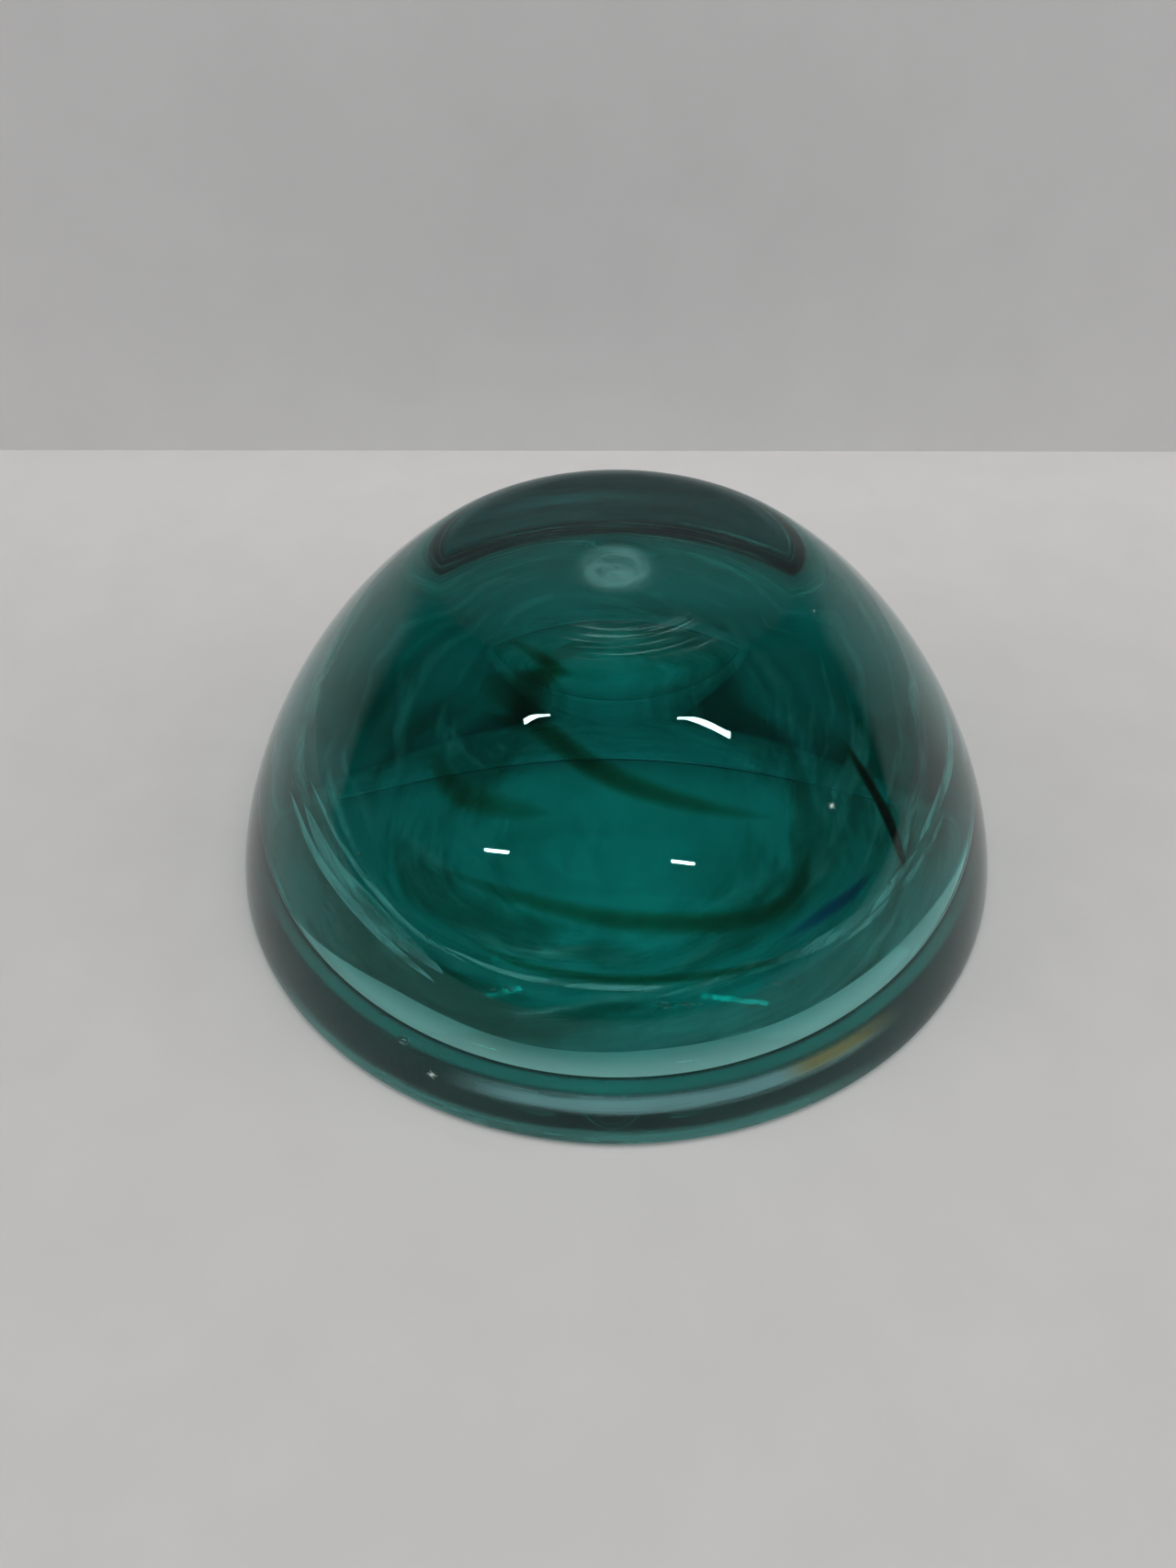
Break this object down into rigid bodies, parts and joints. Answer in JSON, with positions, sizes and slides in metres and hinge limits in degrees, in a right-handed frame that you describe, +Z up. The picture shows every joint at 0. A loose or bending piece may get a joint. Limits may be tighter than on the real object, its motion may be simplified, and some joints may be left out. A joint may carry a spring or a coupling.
{
  "type": "art glass bowl",
  "caption": "Thick-walled round art glass bowl with a streaked teal lining in a clear casing, standing mouth down on its flat rim.",
  "frame": {"origin": "centre of the circle of the rim, on the plane that the rim stands on", "axes": "+Z up from the rim to the flat base, +X to the right and -Y towards the front as the bowl is seen with its long dark crown trail in front"},
  "size_m": [0.1496, 0.1496, 0.0617],
  "materials": {
    "clear_glass": "polished, faintly smoky, almost clear",
    "teal_glass": "polished, deep transparent teal with swirls",
    "dark_glass": "transparent dark green streak",
    "blue_glass": "transparent blue-green streak",
    "pale_glass": "cloudy pale veil with fine seed"
  },
  "bodies": {
    "root": {"blue_trail": "blue_glass", "clear_casing": "clear_glass", "dark_trail_blade": "dark_glass", "dark_trail_crown": "dark_glass", "dark_trail_foot": "dark_glass", "dark_trail_left": "dark_glass", "dark_trail_loop": "dark_glass", "pale_veil_left": "pale_glass", "pale_veil_right": "pale_glass", "teal_gather": "teal_glass"}
  },
  "joints": []
}
